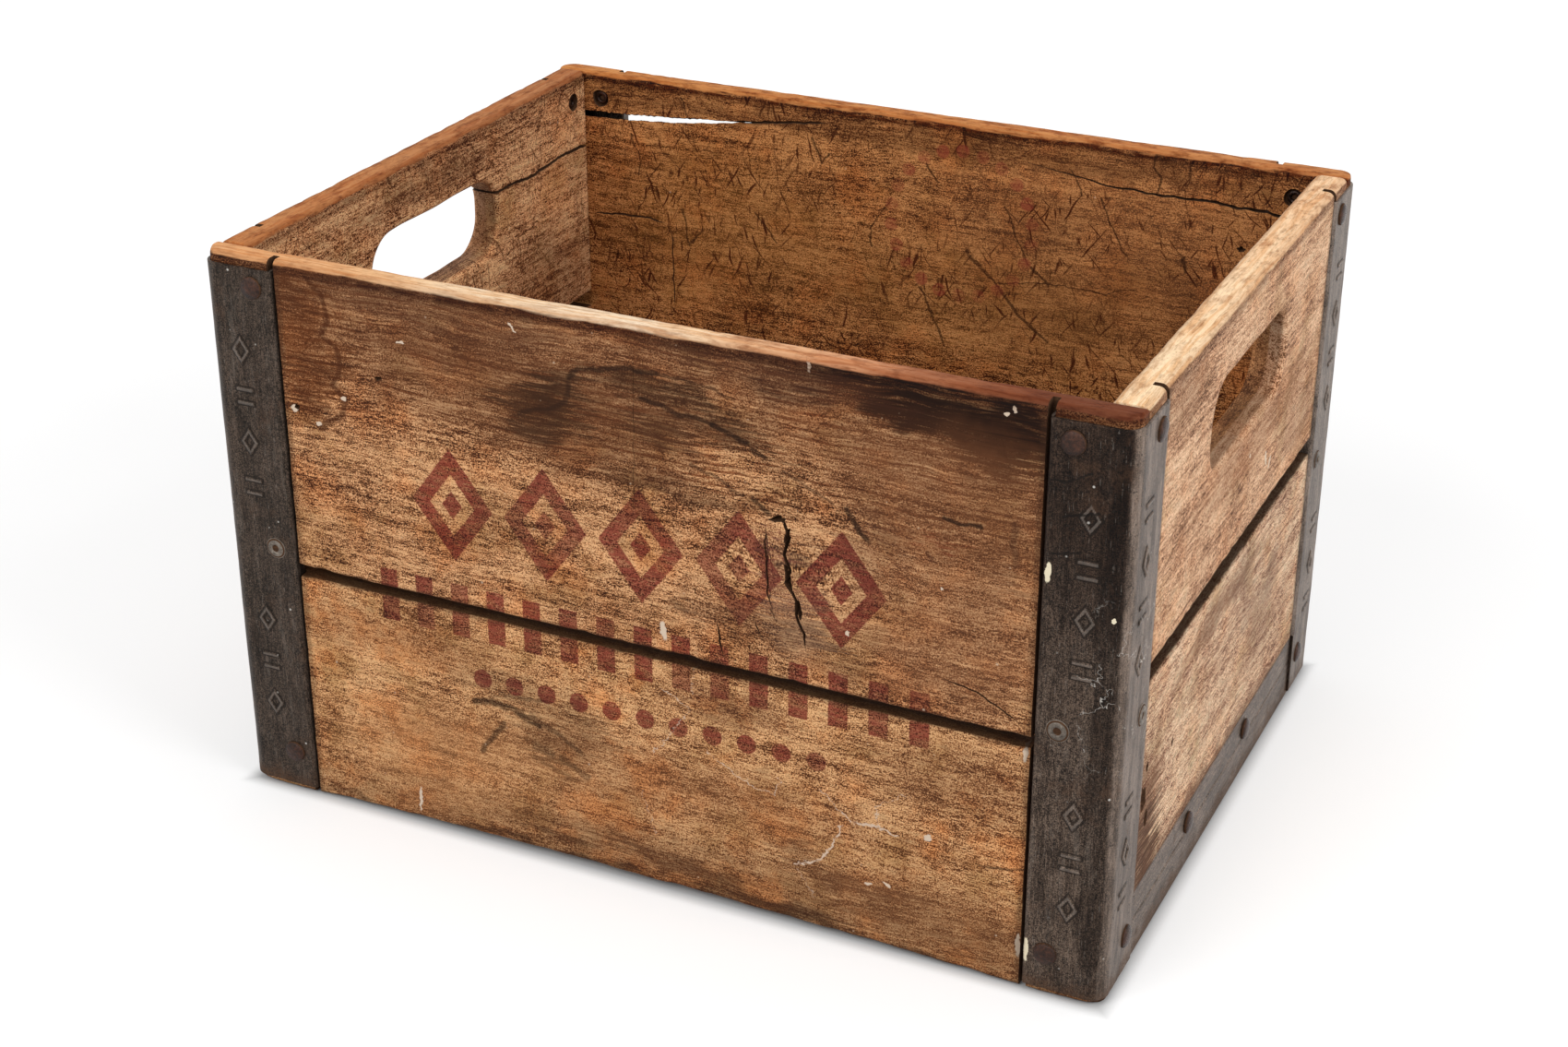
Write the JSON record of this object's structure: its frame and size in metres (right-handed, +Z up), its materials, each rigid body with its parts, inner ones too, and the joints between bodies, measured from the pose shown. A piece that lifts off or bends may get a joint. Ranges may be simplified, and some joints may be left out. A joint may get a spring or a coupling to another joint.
{
  "type": "wooden milk crate",
  "caption": "Open wooden crate for carrying milk bottles: two boards to a wall, a slatted bottom, handholds in the ends, and steel angles riveted round the corners.",
  "frame": {"origin": "the middle of the crate's footprint, on the surface that it stands on", "axes": "+X along the crate's length, from one handhold end to the other; +Y from the front wall to the back wall; +Z up, out of the open top"},
  "size_m": [0.4488, 0.3414, 0.279],
  "materials": {
    "side_wood": "weathered, satin",
    "end_wood": "weathered, satin",
    "slat_wood": "weathered, rough",
    "zinc_steel": "dull, weathered",
    "rusty_steel": "rusty"
  },
  "bodies": {
    "root": {"front_upper_board": "side_wood", "front_lower_board": "side_wood", "back_upper_board": "side_wood", "back_lower_board": "side_wood", "left_upper_board": "end_wood", "left_lower_board": "end_wood", "right_upper_board": "end_wood", "right_lower_board": "end_wood", "bottom_slat_1": "slat_wood", "bottom_slat_2": "slat_wood", "bottom_slat_3": "slat_wood", "bottom_slat_4": "slat_wood", "bottom_slat_5": "slat_wood", "corner_angle_front_left": "zinc_steel", "corner_angle_front_right": "zinc_steel", "corner_angle_back_left": "zinc_steel", "corner_angle_back_right": "zinc_steel", "end_strip_left": "zinc_steel", "end_strip_right": "zinc_steel", "corner_rivets_front_left": "rusty_steel", "corner_rivets_front_right": "rusty_steel", "corner_rivets_back_left": "rusty_steel", "corner_rivets_back_right": "rusty_steel", "strip_rivets_left": "rusty_steel", "strip_rivets_right": "rusty_steel", "slat_nails_left": "rusty_steel", "slat_nails_right": "rusty_steel"}
  },
  "joints": []
}
